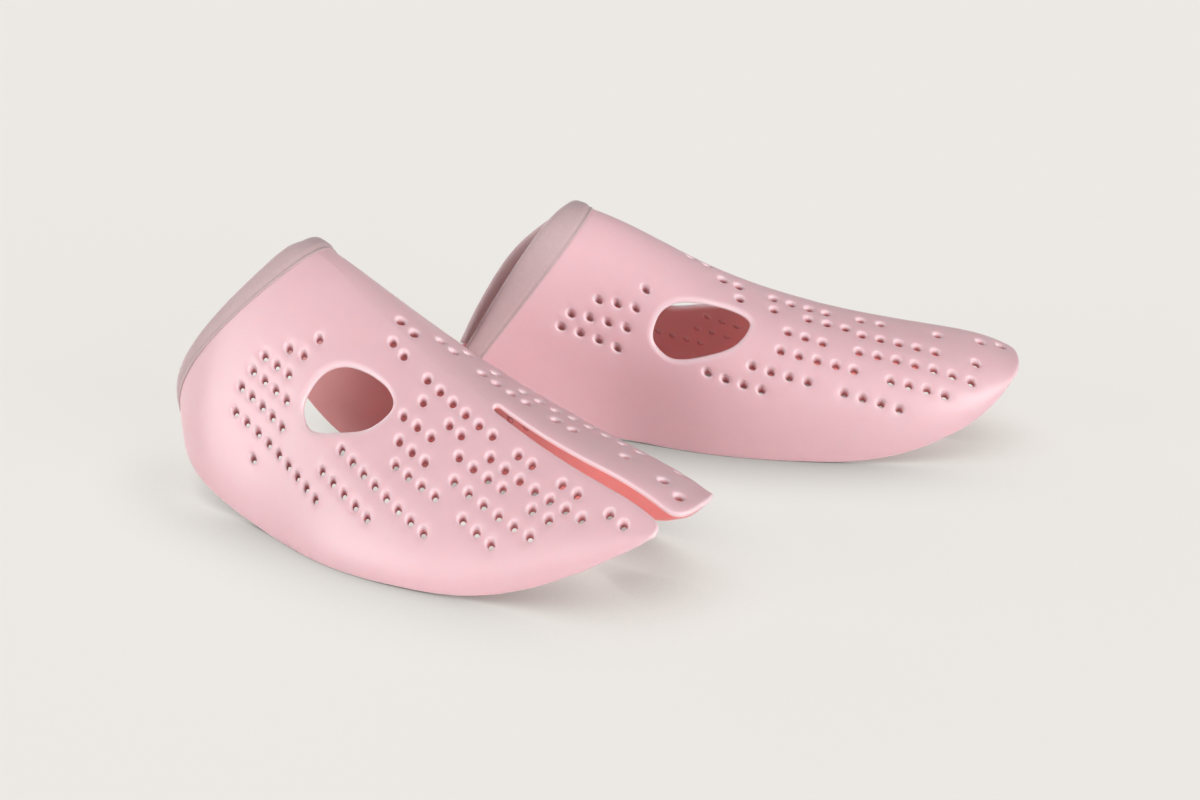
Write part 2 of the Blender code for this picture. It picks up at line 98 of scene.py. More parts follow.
# Holes: lean across the wall, in wall thicknesses, and width inside as a share of that outside
hole_lean = 1.5
hole_taper_share = 0.66

# Counts of points, samples and rounds
hole_sides = 16
window_points = 72
tip_points = 15
slit_end_points = 3
collar_stations = 60
lip_points = 13
corner_points = 6
arc_samples = 121
form_rows = 230
seam_rounds = 40
fill_batch = 500

# Squareness of the toe tips and the foot, and how fast the rear edge steps out below the collar
tip_squareness = 2.8
foot_squareness = 4
corner_step_rate = 3

# Knots of the cubic across each section, and how near to the last of them it is read
knots = (0, 0, 0, 0, 1, 2, 3, 3, 3, 3)
last_knot_share = 1 - 1e-9

# Steps either way that give the form's direction: parts in the length, and share across
probe_parts = 1000
probe_turn = 0.004

# Least gap between a sheet's grid and its edges, in sheet steps, and what counts as one point
fill_gap_share = 0.5
weld_tolerance = 1e-7

# Places of the two shapers: turn as a share of a full turn, and place in shell lengths
right_turn_share = -0.108
left_turn_share = -0.014
right_place_shares = (-0.2706, -0.1382)
left_place_shares = (0.2322, 0.2562)

# Rings of points beside each kind of edge, as shares of the edge's width
edge_ring_shares = (0.0, 0.12, 0.45, 1.0)
window_ring_shares = (0.0, 0.05, 0.2, 0.45, 0.75, 1.0)
dimple_ring_shares = (0.0, 0.07, 0.2, 0.42, 0.7, 1.0)

# Cross sections: stations along the length, then heights and half widths there
stations = (0.0, 0.15, 0.30, 0.45, 0.60, 0.75, 0.88, 0.96, 1.0)
ridge_height_shares = (1.039, 1.010, 0.904, 0.729, 0.588, 0.493, 0.437, 0.391, 0.349)
ridge_side_shares = (0.002, 0.005, 0.008, 0.008, -0.018, -0.020, -0.011, -0.004, -0.004)
lateral_rim_shares = (0.174, 0.110, 0.010, 0.000, 0.002, 0.020, 0.135, 0.253, 0.320)
medial_rim_shares = (0.247, 0.070, 0.008, 0.004, 0.001, 0.017, 0.109, 0.238, 0.345)
lateral_width_shares = (0.252, 0.492, 0.523, 0.569, 0.544, 0.436, 0.304, 0.204, 0.144)
medial_width_shares = (0.318, 0.264, 0.267, 0.368, 0.420, 0.421, 0.373, 0.285, 0.205)

# How far the shoulder of each flank lies under the ridge's height
drop_stations = (0.0, 0.30, 0.52, 0.75, 1.0)
lateral_drop_shares = (0.000, 0.000, 0.000, 0.049, 0.013)
medial_drop_shares = (0.000, 0.000, 0.000, -0.059, -0.048)

# Fullness of each section at the ridge and at the rim, and the rim's tuck under, in radians
shape_stations = (0.0, 0.33, 0.67, 1.0)
lateral_ridge_fullness = (0.213, 0.213, 0.137, 0.707)
lateral_rim_fullness = (0.277, 0.213, 0.223, 0.305)
lateral_tuck = (0.190, -0.012, 0.261, 0.134)
medial_ridge_fullness = (0.624, 0.473, 0.105, 0.170)
medial_rim_fullness = (0.620, 0.672, 0.753, 0.609)
medial_tuck = (0.049, 0.052, 0.126, 0.173)

# Collar: where it ends across each flank, and how much wider than its band it is on the way there
lateral_collar_end_share = 0.95
medial_collar_end_share = 0.93
collar_stops = (0.0, 0.10, 0.25, 0.40, 0.55, 0.75, 1.0)
right_lateral_swell_shares = (0.2, 0.55, 0.35, 0.00, -0.35, -0.65, -0.30)
right_medial_swell_shares = (0.2, 0.30, 0.60, 0.90, 0.90, 0.60, 0.10)
left_lateral_swell_shares = (0.25, 0.00, -0.05, 0.45, 1.00, 0.60, -0.10)
left_medial_swell_shares = (0.25, 0.55, 1.05, 1.35, 1.40, 1.10, 0.30)
collar_taper_share = 0.6
collar_thinning = 0.6

# Bead along the collar's front: distance in bead widths, height in front heights, share of the dip
bead_profile = (
    (0.0, 0.0, 0.0),
    (0.0, 0.55, 0.0),
    (0.12, 0.9, 0.0),
    (0.4, 1.25, 0.0),
    (0.75, 1.25, 0.0),
    (1.0, 1.25, 0.6),
    (1.25, 1.25, 1.0),
    (1.6, 1.25, 0.3),
)
bead_slope_widths = (2.2, 3.4)

# Slit, toe tips, foot, stretch that bends and change of colour (inside, from painted shade at the
# rear to painted glow at the toe), as shares of the shell length
slit_start_share = 0.645
lateral_tip_share = 0.991
medial_tip_share = 1.006
foot_centre_share = 0.49
foot_spread_share = 0.12
tip_start_share = 0.86
form_end_share = 1.03
toe_colour_start_share = 0.47
toe_colour_run_share = 0.25

# How late the slit widens
slit_bow = 1.46

# Windows: near corner and size on the unrolled sheet, and one outline for both
lateral_window_shares = (0.350, 0.097, 0.151, 0.140)
medial_window_shares = (0.365, 0.104, 0.170, 0.126)
window_outline_shares = (
    (0.00, 0.76),
    (0.08, 0.42),
    (0.27, 0.17),
    (0.55, 0.03),
    (0.85, 0.00),
    (1.00, 0.14),
    (0.86, 0.50),
    (0.52, 0.80),
    (0.22, 0.99),
    (0.05, 0.93),
)

# Rows of holes on the unrolled sheet: first hole, last hole and how many
lateral_hole_row_shares = (
    (0.443, 0.034, 0.470, 0.038, 2),
    (0.526, 0.040, 0.672, 0.041, 6),
    (0.728, 0.043, 0.757, 0.044, 2),
    (0.820, 0.048, 0.851, 0.051, 2),
    (0.915, 0.058, 0.943, 0.063, 2),
    (0.541, 0.072, 0.541, 0.072, 1),
    (0.600, 0.071, 0.626, 0.071, 2),
    (0.689, 0.071, 0.877, 0.081, 7),
    (0.525, 0.111, 0.584, 0.105, 3),
    (0.642, 0.100, 0.733, 0.099, 4),
    (0.795, 0.103, 0.828, 0.104, 2),
    (0.540, 0.145, 0.596, 0.141, 3),
    (0.655, 0.134, 0.811, 0.139, 6),
    (0.554, 0.177, 0.639, 0.171, 4),
    (0.698, 0.173, 0.757, 0.179, 3),
    (0.454, 0.222, 0.648, 0.226, 8),
    (0.434, 0.270, 0.548, 0.270, 5),
    (0.228, 0.300, 0.440, 0.312, 9),
    (0.284, 0.345, 0.284, 0.345, 1),
    (0.333, 0.112, 0.333, 0.112, 1),
    (0.289, 0.157, 0.318, 0.150, 2),
    (0.251, 0.193, 0.304, 0.191, 3),
    (0.239, 0.225, 0.316, 0.227, 4),
    (0.226, 0.259, 0.324, 0.267, 5),
)
medial_hole_row_shares = (
    (0.427, 0.005, 0.456, 0.005, 2),
    (0.484, 0.038, 0.512, 0.040, 2),
    (0.515, 0.073, 0.515, 0.073, 1),
    (0.574, 0.045, 0.667, 0.053, 4),
    (0.728, 0.055, 0.763, 0.056, 2),
    (0.863, 0.059, 0.863, 0.059, 1),
    (0.939, 0.048, 0.976, 0.035, 2),
    (0.575, 0.077, 0.575, 0.077, 1),
    (0.635, 0.082, 0.700, 0.088, 3),
    (0.729, 0.099, 0.856, 0.110, 5),
    (0.926, 0.113, 0.926, 0.113, 1),
    (0.600, 0.123, 0.660, 0.133, 3),
    (0.723, 0.140, 0.917, 0.154, 7),
    (0.588, 0.162, 0.715, 0.177, 5),
    (0.778, 0.186, 0.872, 0.192, 4),
    (0.540, 0.198, 0.636, 0.210, 4),
    (0.699, 0.220, 0.794, 0.233, 4),
    (0.463, 0.229, 0.557, 0.236, 4),
    (0.352, 0.127, 0.352, 0.127, 1),
    (0.270, 0.179, 0.335, 0.167, 3),
    (0.222, 0.220, 0.319, 0.209, 4),
    (0.205, 0.248, 0.303, 0.252, 4),
)

# Colours as sRGB from 0 to 255
shell_dark = (234, 190, 197)
shell_light = (238, 196, 203)
shell_rear = (236, 192, 199)
# Inner faces: the coral is painted glow of light let through the wall, and the rear's duller tone
# is painted shade
inside_painted_glow_dark = (244, 158, 155)
inside_painted_glow_light = (248, 166, 163)
inside_rear_painted_shade = (222, 156, 157)
# Painted light along rims and hole lips, and painted shade down the bores of the holes
rim_painted_light = (255, 226, 231)
bore_painted_shade = (204, 122, 125)
collar_dark = (192, 165, 167)
collar_light = (201, 174, 176)

# Strength of the painted light on rims, and how deep down a bore its painted shade starts and is
# full
rim_painted_light_strength = 0.75
bore_painted_shade_depths = (0.25, 0.95)

# Noise in the materials: its scales, and how far it strays from a half
shell_cloud_scale = 14.0
shell_mottle_scale = 160.0
shell_grain_scale = 1400.0
collar_cloud_scale = 30.0
collar_speck_scale = 900.0
floor_fibre_scale = 900.0
cloud_reach = 0.15
speck_reach = 0.2

# Floor: width in metres, linear colours, share of its glow and the painted shade that occlusion
# draws into that glow
floor_size = 6.0
floor_colour = (0.831, 0.806, 0.768)
floor_glow = (0.930, 0.903, 0.860)
floor_glow_share = 0.80
floor_shade_reach = 0.035
floor_shade_samples = 12
floor_shade_levels = (0.10, 1.0)
floor_shade_openness = (0.2, 0.95)

# Sky, and lamps with their level and the direction they shine from
horizon_level = 0.36
zenith_level = 0.09
lamp_spread = math.radians(40)
lamps = {
    "right_lamp": (2.8, (0.68, -0.70, 0.2)),
    "left_lamp": (2.0, (-0.93, -0.34, 0.2)),
    "back_lamp": (1.0, (-0.6, 0.75, 0.25)),
}

# Camera: metres and radians, with the lens and its sensor in millimetres
camera_distance = 0.5492
camera_elevation = 0.387
camera_target = (-0.00059, -0.01836, 0.035)
camera_lens = 53.76
camera_sensor = 36.0

# Measures that follow from those above
lap_depth = collar_lap + fit_gap
seam_lean = (seam_top - seam_foot) / seam_rise
seam_slope = math.hypot(1.0, seam_lean)
slit_start = slit_start_share * shell_length
edge_rings = edge_round * np.array(edge_ring_shares)
window_rings = window_bevel_width * np.array(window_ring_shares)
dimple_rings = dimple_ring_width * np.array(dimple_ring_shares)

# Half of a shell: its mesh, and the values, normals and places across that its finish needs
Half = namedtuple("Half", "points faces kinds values on_split normals across")


class Spline:
    """Natural cubic through the given values, straight outside the stations."""

    def __init__(self, at, values):
        self.at = np.array(at, float)
        self.values = np.array(values, float)
        step = np.diff(self.at)
        count = len(self.at)
        matrix = np.eye(count)
        right = np.zeros(count)
        for i in range(1, count - 1):
            matrix[i, i - 1 : i + 2] = (step[i - 1], 2 * (step[i - 1] + step[i]), step[i])
            rise = np.diff(self.values)[i - 1 : i + 1] / step[i - 1 : i + 1]
            right[i] = 6 * (rise[1] - rise[0])
        self.bend = np.linalg.solve(matrix, right)

    def __call__(self, where):
        where = np.asarray(where, float)
        clamped = np.clip(where, self.at[0], self.at[-1])
        k = np.clip(np.searchsorted(self.at, clamped) - 1, 0, len(self.at) - 2)
        step = self.at[k + 1] - self.at[k]
        left = (self.at[k + 1] - clamped) / step
        right = (clamped - self.at[k]) / step
        low = self.bend[k] * (left**3 - left)
        high = self.bend[k + 1] * (right**3 - right)
        value = left * self.values[k] + right * self.values[k + 1] + (low + high) * step**2 / 6
        slope_low = -self.bend[k] * (3 * left**2 - 1)
        slope_high = self.bend[k + 1] * (3 * right**2 - 1)
        slope = (self.values[k + 1] - self.values[k]) / step + (slope_low + slope_high) * step / 6
        return value + slope * (where - clamped)


def spline_weights(at):
    """Weights of the six poles of a clamped cubic spline."""
    at = np.clip(at, 0, knots[-1] * last_knot_share)
    weights = [((at >= a) & (at < b)).astype(float) for a, b in zip(knots, knots[1:])]
    for degree in (1, 2, 3):
        raised = []
        for i in range(len(weights) - 1):
            value = np.zeros_like(at)
            if knots[i + degree] > knots[i]:
                value = value + (at - knots[i]) / (knots[i + degree] - knots[i]) * weights[i]
            if knots[i + degree + 1] > knots[i + 1]:
                span = knots[i + degree + 1] - knots[i + 1]
                value = value + (knots[i + degree + 1] - at) / span * weights[i + 1]
            raised.append(value)
        weights = raised
    return weights


def table(at, values, size):
    """Curve through values at stations, both given as shares."""
    return Spline(np.array(at) * shell_length, np.array(values) * size)


class Side:
    """One flank of the shell, from the ridge down to its rim."""

    def __init__(self, sign, collar_end, swing, rim, width, drop, fullness, tuck):
        self.sign = sign
        self.swing = swing
        self.collar_shares = np.linspace(0, collar_end, collar_stations // 2 + 1)
        self.rim = table(stations, rim, instep_height)
        self.width = table(stations, width, ball_width)
        self.drop = table(drop_stations, drop, instep_height)
        self.ridge_fullness, self.rim_fullness = (table(shape_stations, f, 1) for f in fullness)
        self.tuck = table(shape_stations, tuck, 1)

    def poles(self, x):
        """Rim, flank and shoulder poles of the cross section at length x."""
        top = ridge_height(x)
        middle = ridge_side(x)
        from_foot = (x / shell_length - foot_centre_share) / foot_spread_share
        foot = self.rim(x) - foot_depth * np.exp(-(from_foot**foot_squareness))
        edge = self.sign * self.width(x)
        lift = self.rim_fullness(x) * (top - foot)
        tuck = self.tuck(x)
        flank = (edge + self.sign * lift * np.sin(tuck), foot + lift * np.cos(tuck))
        shoulder = middle + self.sign * self.ridge_fullness(x) * np.abs(edge - middle)
        return [(edge, foot), flank, (shoulder, top - self.drop(x))]

    def point(self, x, share):
        """Outer face at length x and a share of the way from the ridge to the rim."""
        return form_point(x, self.sign * np.asarray(share, float))

    def lay_table(self):
        """Length along the section at every share, for rows of the form along its length."""
        self.rows = np.linspace(seam_foot - seam_rise, shell_length * form_end_share, form_rows)
        self.shares = np.linspace(0, 1, arc_samples)
        points = self.point(self.rows[:, None], self.shares[None, :])
        runs = np.linalg.norm(np.diff(points, axis=1), axis=2)
        self.lengths = np.concatenate([np.zeros((form_rows, 1)), np.cumsum(runs, axis=1)], axis=1)

    def row_of(self, x):
        """Row of the table at length x, and the part of the way to the next."""
        place = (x - self.rows[0]) / (self.rows[1] - self.rows[0])
        row = np.clip(place.astype(int), 0, form_rows - 2)
        return row, place - row

    def reach(self, x):
        """Length of the section from the ridge to the rim."""
        return np.interp(x, self.rows, self.lengths[:, -1])

    def share_at(self, x, distance):
        """Share of the section at a distance from the ridge."""
        row, part = self.row_of(x)
        out = np.zeros(len(x))
        for k in np.unique(row):
            here = row == k
            low = np.interp(distance[here], self.lengths[k], self.shares)
            high = np.interp(distance[here], self.lengths[k + 1], self.shares)
            out[here] = low + (high - low) * part[here]
        return out

    def distance_at(self, x, share):
        """Distance from the ridge at a share of the section."""
        row, part = self.row_of(x)

        def length_in(rows):
            pairs = zip(share, rows)
            return np.array([np.interp(s, self.shares, self.lengths[k]) for s, k in pairs])

        low = length_in(row)
        return low + (length_in(row + 1) - low) * part

    def behind_seam(self, share, back):
        """Length x where the outer face meets the plane that lies a distance behind the seam."""
        share = np.asarray(share, float)
        start = seam_foot - back * seam_slope - self.swing * np.sin(math.pi * share**2)
        x = np.full(share.shape, start)
        for _ in range(seam_rounds):
            x = (x + start + seam_lean * self.point(x, share)[..., 2]) / 2
        return x

    def rear_edge(self):
        """Places on the sheet down the rear edge, with a rounded corner below the collar."""
        turn = np.linspace(0, 1, corner_points + 1)[1:]
        end = self.collar_shares[-1]
        bare = end + (1 - end) * np.sin(turn * math.pi / 2)
        step_out = np.clip(turn * corner_step_rate, 0, 1) * (collar_band - collar_lap)
        cut_back = rear_corner * (1 - np.cos(turn * math.pi / 2))
        covered = np.full(len(self.collar_shares), collar_lap)
        back = np.concatenate([covered, collar_lap + step_out - cut_back])
        share = np.concatenate([self.collar_shares, bare])
        x = self.behind_seam(share, back)
        return np.stack([x, self.distance_at(x, share)], axis=-1)


def form_point(x, across):
    """Outer face at length x; across runs from -1 at the lateral rim to 1 at the medial rim."""
    x, across = np.broadcast_arrays(np.asarray(x, float), np.asarray(across, float))
    poles = lateral.poles(x) + medial.poles(x)[::-1]
    weights = spline_weights(knots[-1] * (1 + across) / 2)
    y = sum(w * pole[0] for w, pole in zip(weights, poles))
    z = sum(w * pole[1] for w, pole in zip(weights, poles))
    return np.stack([x, y, z], axis=-1)


def form_normal(x, across):
    """Unit normal of the outer face, pointing away from the foot."""
    step = shell_length / probe_parts
    across = np.clip(across, probe_turn - 1, 1 - probe_turn)
    along = form_point(x + step, across) - form_point(x - step, across)
    over = form_point(x, across + probe_turn) - form_point(x, across - probe_turn)
    normal = np.cross(along, over)
    return normal / np.linalg.norm(normal, axis=-1)[..., None]


ridge_height = table(stations, ridge_height_shares, instep_height)
ridge_side = table(stations, ridge_side_shares, ball_width)
lateral = Side(
    sign=-1,
    collar_end=lateral_collar_end_share,
    swing=lateral_seam_swing,
    rim=lateral_rim_shares,
    width=lateral_width_shares,
    drop=lateral_drop_shares,
    fullness=(lateral_ridge_fullness, lateral_rim_fullness),
    tuck=lateral_tuck,
)
medial = Side(
    sign=1,
    collar_end=medial_collar_end_share,
    swing=medial_seam_swing,
    rim=medial_rim_shares,
    width=medial_width_shares,
    drop=medial_drop_shares,
    fullness=(medial_ridge_fullness, medial_rim_fullness),
    tuck=medial_tuck,
)
lateral.lay_table()
medial.lay_table()


def spaced(start, end, step):
    """Even places from start to end, no more than a step apart."""
    return np.linspace(start, end, max(2, int(math.ceil(abs(end - start) / step)) + 1))


def slit_edge(side, x):
    """Distance of the slit's edge from the ridge line, on one side."""
    share = np.clip((x - slit_start) / (shell_length - slit_start), 0, 1)
    mouth = slit_mouth if side is lateral else 0.0
    return slit_end_radius + (mouth - slit_end_radius) * share**slit_bow


def smooth_step(value):
    """Rise from 0 to 1 that starts and ends level."""
    part = np.clip(value, 0, 1)
    return part * part * (3 - 2 * part)


def split_line(x):
    """Line that parts the two halves of the sheet, set beside the ridge where holes crowd it."""
    rise = smooth_step((x - split_shift_start) / split_shift_run)
    fall = smooth_step((split_shift_end - x) / split_shift_run)
    return -split_shift * rise * fall


def half_outline(side, tip_share, tip_length):
    """Outline of one half of the sheet, moves into it, and which points butt on the other half."""
    rear = side.rear_edge()
    x = spaced(rear[0, 0], slit_start, edge_step)
    split = np.stack([x, split_line(x)], axis=-1)
    turn = np.linspace(math.pi, math.pi / 2, slit_end_points + 2)[1:-1]
    centre = slit_start + slit_end_radius
    end = slit_end_radius * np.stack([np.cos(turn), np.sin(turn)], axis=-1) + (centre, 0)
    tip_start = tip_share * shell_length - tip_length
    x = spaced(centre, tip_start, edge_step)
    edge = np.stack([x, slit_edge(side, x)], axis=-1)
    angle = np.linspace(-math.pi / 2, math.pi / 2, tip_points + 2)[1:-1]
    x = tip_start + tip_length * np.cos(angle) ** (2 / tip_squareness)
    low = slit_edge(side, x)
    high = side.reach(x)
    across = np.sign(angle) * np.abs(np.sin(angle)) ** (2 / tip_squareness)
    tip = np.stack([x, (low + high) / 2 + (high - low) / 2 * across], axis=-1)
    x = spaced(tip_start, rear[-1, 0], edge_step)
    rim = np.stack([x, side.reach(x)], axis=-1)
    run = np.vstack([end, edge, tip, rim[:-1], rear[::-1][:-1]]) * (1, side.sign)
    loop = np.vstack([split, run])
    moves = inward_moves(loop)
    butt = np.arange(len(loop)) < len(split)
    # Points that butt stay on the split line, and its two ends move along it
    moves[butt] = 0
    moves[0] = (1, 0)
    moves[len(split) - 1] = (-1, 0)
    return loop, moves, butt


def inward_moves(loop):
    """Unit moves into a closed loop at each of its points."""
    ahead = np.roll(loop, -1, axis=0) - loop
    ahead /= np.linalg.norm(ahead, axis=1)[:, None]
    behind = np.roll(ahead, 1, axis=0)
    mean = ahead + behind
    mean /= np.linalg.norm(mean, axis=1)[:, None]
    moves = np.stack([-mean[:, 1], mean[:, 0]], axis=-1)
    across = (loop * np.roll(loop[:, ::-1], -1, axis=0) * (1, -1)).sum()
    return moves * np.sign(across)


def window_outline(side, shares):
    """Closed outline of a window on the sheet, a Catmull-Rom curve through its corners."""
    u, v, length, depth = np.array(shares) * shell_length
    corners = np.array(window_outline_shares)
    count = len(corners)
    out = []
    for position in np.linspace(0, count, window_points, endpoint=False):
        i = int(position)
        t = position - i
        a, b, c, d = (corners[(i + k) % count] for k in (-1, 0, 1, 2))
        point = b + t * (c - a) / 2 + t**2 * (a - 2.5 * b + 2 * c - d / 2)
        out.append(point + t**3 * (1.5 * b - 1.5 * c + (d - a) / 2))
    out = np.array(out)
    return np.stack([u + out[:, 0] * length, side.sign * (v + out[:, 1] * depth)], axis=-1)


def hole_centres(side, rows):
    """Centres of the holes on the sheet, row by row."""
    out = []
    for first_u, first_v, last_u, last_v, count in rows:
        first = np.array((first_u, first_v)) * shell_length
        last = np.array((last_u, last_v)) * shell_length
        out += [first + (last - first) * i / max(1, count - 1) for i in range(count)]
    return np.array(out) * (1, side.sign)


def inside(points, loop):
    """True for the points that lie inside a closed loop."""
    result = np.zeros(len(points), bool)
    for a, b in zip(loop, np.roll(loop, -1, axis=0)):
        crosses = (a[1] > points[:, 1]) != (b[1] > points[:, 1])
        if not crosses.any():
            continue
        rise = b[1] - a[1]
        at = a[0] + (points[:, 1] - a[1]) / (rise if rise else 1.0) * (b[0] - a[0])
        result ^= crosses & (points[:, 0] < at)
    return result


def within(points, loop):
    """As inside(), for many points and a small loop: only the points near it are tried."""
    near = np.abs(points - loop.mean(axis=0)).max(axis=1) < np.ptp(loop, axis=0).max()
    near[near] = inside(points[near], loop)
    return near


def rounded_drop(distance, width, depth):
    """Drop of a rounded edge at a distance into the sheet."""
    part = np.clip(1 - distance / width, 0, 1)
    return depth * (1 - np.sqrt(1 - part**2))


class HalfSheet:
    """Flat half of a shell: its points, how far both sides drop there, faces and walled edges."""

    def __init__(self, side, tip_share, tip_length, window_shares, hole_rows):
        self.points = []
        self.outer_drop = []
        self.inner_drop = []
        self.glow = []
        self.bore = []
        self.faces = []
        self.walls = []
        self.loops = []
        self.hole_loops = []
        outline, moves, butt = half_outline(side, tip_share, tip_length)
        self.butting = int(butt.sum())
        self.add_edge(outline, moves, edge_rings, (edge_round, edge_round), edge_round, butt)
        window = window_outline(side, window_shares)
        bevel = (window_bevel_width, window_bevel_depth)
        self.add_edge(window, -inward_moves(window), window_rings, bevel, edge_round)
        centres = hole_centres(side, hole_rows)
        angle = np.arange(hole_sides) * math.tau / hole_sides
        ring = np.stack([np.cos(angle), np.sin(angle)], axis=-1)
        for centre in centres:
            loop = centre + hole_radius * ring
            bore = self.add_edge(loop, ring, dimple_rings, (dimple_width, dimple_depth), 0.0)
            self.hole_loops.append(bore)
        self.fill()
        away = np.array([np.linalg.norm(centres - point, axis=1).min() for point in self.points])
        dimple = rounded_drop(away - hole_radius, dimple_width, dimple_depth)
        self.outer_drop = np.maximum(self.outer_drop, dimple)
        borders = np.vstack([outline, window])
        clear = np.array([np.linalg.norm(borders - point, axis=1).min() for point in self.points])
        self.lean = smooth_step(clear / lean_margin)
        beyond = np.clip(self.points[:, 0] - slit_start, 0, None)
        beside = self.points[:, 1] - split_line(self.points[:, 0])
        self.whole = smooth_step(np.hypot(beyond, beside) / split_fade)

    def add_edge(self, loop, moves, rings, bevel, inner_round, butt=None):
        """Rings of quads along an edge, bevelled outside and rounded inside, but not in a bore."""
        count = len(loop)
        butt = np.zeros(count, bool) if butt is None else butt
        start = sum(len(p) for p in self.points)
        joined = butt & np.roll(butt, -1)
        still = butt & (np.abs(moves).sum(axis=1) == 0)
        for k, distance in enumerate(rings):
            self.points.append(loop + moves * distance)
            inner = rounded_drop(distance, inner_round, inner_round) if inner_round else 0.0
            self.outer_drop.append(np.where(still, 0.0, rounded_drop(distance, *bevel)))
            self.inner_drop.append(np.where(still, 0.0, inner))
            # Painted light: a pale rim that fades inwards over the rings; the bore mark places
            # painted shade at a hole's inner end
            self.glow.append(np.where(still, 0.0, 1 - distance / rings[-1]))
            self.bore.append(np.full(count, float(k == 0 and not inner_round)))
            if k == 0:
                continue
            low = start + (k - 1) * count
            high = start + k * count
            for i in range(count):
                j = (i + 1) % count
                if not joined[i]:
                    self.faces.append((low + i, low + j, high + j, high + i))
        self.walls += [(start + i, start + (i + 1) % count) for i in range(count) if not joined[i]]
        last = start + (len(rings) - 1) * count
        self.loops.append(np.arange(last, last + count))
        return np.arange(start, start + count)

    def lay_grid(self, loops):
        """Places between the loops of the sheet, a step apart and clear of its edges."""
        low = loops[0].min(axis=0)
        high = loops[0].max(axis=0)
        rows = np.arange(low[1] + sheet_step / 2, high[1], sheet_step * math.sqrt(3) / 2)
        grid = []
        for i, v in enumerate(rows):
            shift = sheet_step / 2 * (i % 2)
            grid += [(u, v) for u in np.arange(low[0] + shift, high[0], sheet_step)]
        grid = np.array(grid)
        grid = grid[inside(grid, loops[0])]
        for loop in loops[1:]:
            grid = grid[~within(grid, loop)]
        rim = np.vstack(loops)
        keep = np.ones(len(grid), bool)
        for start in range(0, len(grid), fill_batch):
            part = grid[start : start + fill_batch]
            gaps = np.linalg.norm(part[:, None] - rim[None], axis=2).min(axis=1)
            keep[start : start + fill_batch] = gaps > sheet_step * fill_gap_share
        return grid[keep]

    def fill(self):
        """Triangles between the innermost rings."""
        made = np.vstack(self.points)
        loops = [made[index] for index in self.loops]
        grid = self.lay_grid(loops)
        self.points.append(grid)
        zero = np.zeros(len(grid))
        for values in (self.outer_drop, self.inner_drop, self.glow, self.bore):
            values.append(zero)
        index = np.concatenate([*self.loops, np.arange(len(made), len(made) + len(grid))])
        edges = []
        start = 0
        for loop in loops:
            edges += [(start + i, start + (i + 1) % len(loop)) for i in range(len(loop))]
            start += len(loop)
        scaled = [Vector(p) for p in np.vstack([*loops, grid]) / shell_length]
        verts, _, corners, origins, _, _ = delaunay_2d_cdt(scaled, edges, [], 0, weld_tolerance)
        flat = np.array([tuple(v) for v in verts]) * shell_length
        triangles = np.array([tuple(t) for t in corners])
        centres = flat[triangles].mean(axis=1)
        keep = inside(centres, loops[0])
        for loop in loops[1:]:
            keep &= ~within(centres, loop)
        source = np.array([index[o[0]] for o in origins])
        self.faces += [tuple(t) for t in source[triangles[keep]]]
        self.points = np.vstack(self.points)
        self.outer_drop = np.concatenate(self.outer_drop)
        self.inner_drop = np.concatenate(self.inner_drop)
        self.glow = np.concatenate(self.glow)
        self.bore = np.concatenate(self.bore)
        self.butt = np.arange(len(self.points)) < self.butting


def shell_faces(sheet):
    """Faces of both sides and of the walls along the edges, facing out, and each one's kind."""
    count = len(sheet.points)
    outer = []
    for face in sheet.faces:
        a, b, c = (sheet.points[i] for i in face[:3])
        left = (b[0] - a[0]) * (c[1] - a[1]) - (b[1] - a[1]) * (c[0] - a[0])
        outer.append(face if left > 0 else face[::-1])
    inner = [tuple(count + i for i in face[::-1]) for face in outer]
    used = {edge for face in outer for edge in zip(face, face[1:] + face[:1])}
    walls = []
    for a, b in sheet.walls:
        if (a, b) in used:
            a, b = b, a
        walls.append((a, b, count + b, count + a))
    return outer + inner + walls, [0] * len(outer) + [1] * len(inner) + [0] * len(walls)


def half_shell(sheet):
    """Half of a shell in its own frame, with holes that lean upright as a mould draws them."""
    x, along = sheet.points.T
    across = np.where(
        along < 0,
        -lateral.share_at(x, np.abs(along)),
        medial.share_at(x, np.abs(along)),
    )
    base = form_point(x, across)
    normal = form_normal(x, across)
    outer = base - normal * sheet.outer_drop[:, None]
    up = np.array((0.0, 0.0, 1.0))
    uphill = up - normal * normal[:, 2:]
    slide = hole_lean * wall * uphill / (1 + hole_lean * np.clip(normal[:, 2:], 0, 1))
    inner = base - normal * (wall - sheet.inner_drop)[:, None] - slide * sheet.lean[:, None]
    for loop in sheet.hole_loops:
        middle = inner[loop].mean(axis=0)
        inner[loop] = middle + (inner[loop] - middle) * hole_taper_share
    count = len(base)
    points = np.vstack([outer, inner])
    points[:, 2] = np.maximum(points[:, 2], 0.0)
    faces, kinds = shell_faces(sheet)
    # Run from the rear's colour to the toe's; on the inside it runs from painted shade to painted
    # glow
    toe_colour = smooth_step((x / shell_length - toe_colour_start_share) / toe_colour_run_share)
    # Painted light along rims, painted shade at the bores' inner ends, where subsurface scattering
    # may reach, and the run from rear to toe
    values = {
        "painted_edge_glow": np.concatenate([sheet.glow, sheet.glow * (1 - sheet.lean)]),
        "bore_depth": np.concatenate([np.zeros(count), sheet.bore]),
        "whole_wall": np.concatenate([sheet.whole, sheet.whole]),
        "toe_run": np.concatenate([toe_colour, toe_colour]),
    }
    return Half(
        points=points,
        faces=faces,
        kinds=kinds,
        values=values,
        on_split=np.concatenate([sheet.butt, sheet.butt]),
        normals=np.vstack([normal, -normal]),
        across=np.concatenate([across, across]),
    )


def linear(colour):
    """Linear colour, with full alpha, of an sRGB colour from 0 to 255."""
    out = []
    for value in colour:
        v = value / 255
        out.append(v / 12.92 if v <= 0.04045 else ((v + 0.055) / 1.055) ** 2.4)
    return (*out, 1.0)


